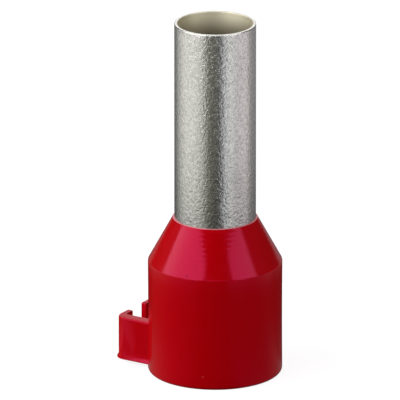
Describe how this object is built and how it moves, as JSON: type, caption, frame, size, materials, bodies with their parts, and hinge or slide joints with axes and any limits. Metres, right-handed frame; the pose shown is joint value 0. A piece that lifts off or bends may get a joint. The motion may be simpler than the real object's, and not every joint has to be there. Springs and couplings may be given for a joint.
{
  "type": "insulated wire ferrule",
  "caption": "Tinned copper wire-end sleeve with a red insulating collar and a side clip for a marker tag",
  "frame": {"origin": "on the ferrule's axis, in the plane of the collar's mouth, where the wire goes in", "axes": "+Z along the axis from the mouth to the sleeve's tip, -X towards the tag clip, +Y across the clip"},
  "size_m": [0.0098, 0.008, 0.0219],
  "materials": {
    "tinned_copper": "satin, tumbled tin plating over copper",
    "red_collar": "glossy, moulded"
  },
  "bodies": {
    "root": {"contact_sleeve": "tinned_copper", "insulating_collar": "red_collar"}
  },
  "joints": []
}
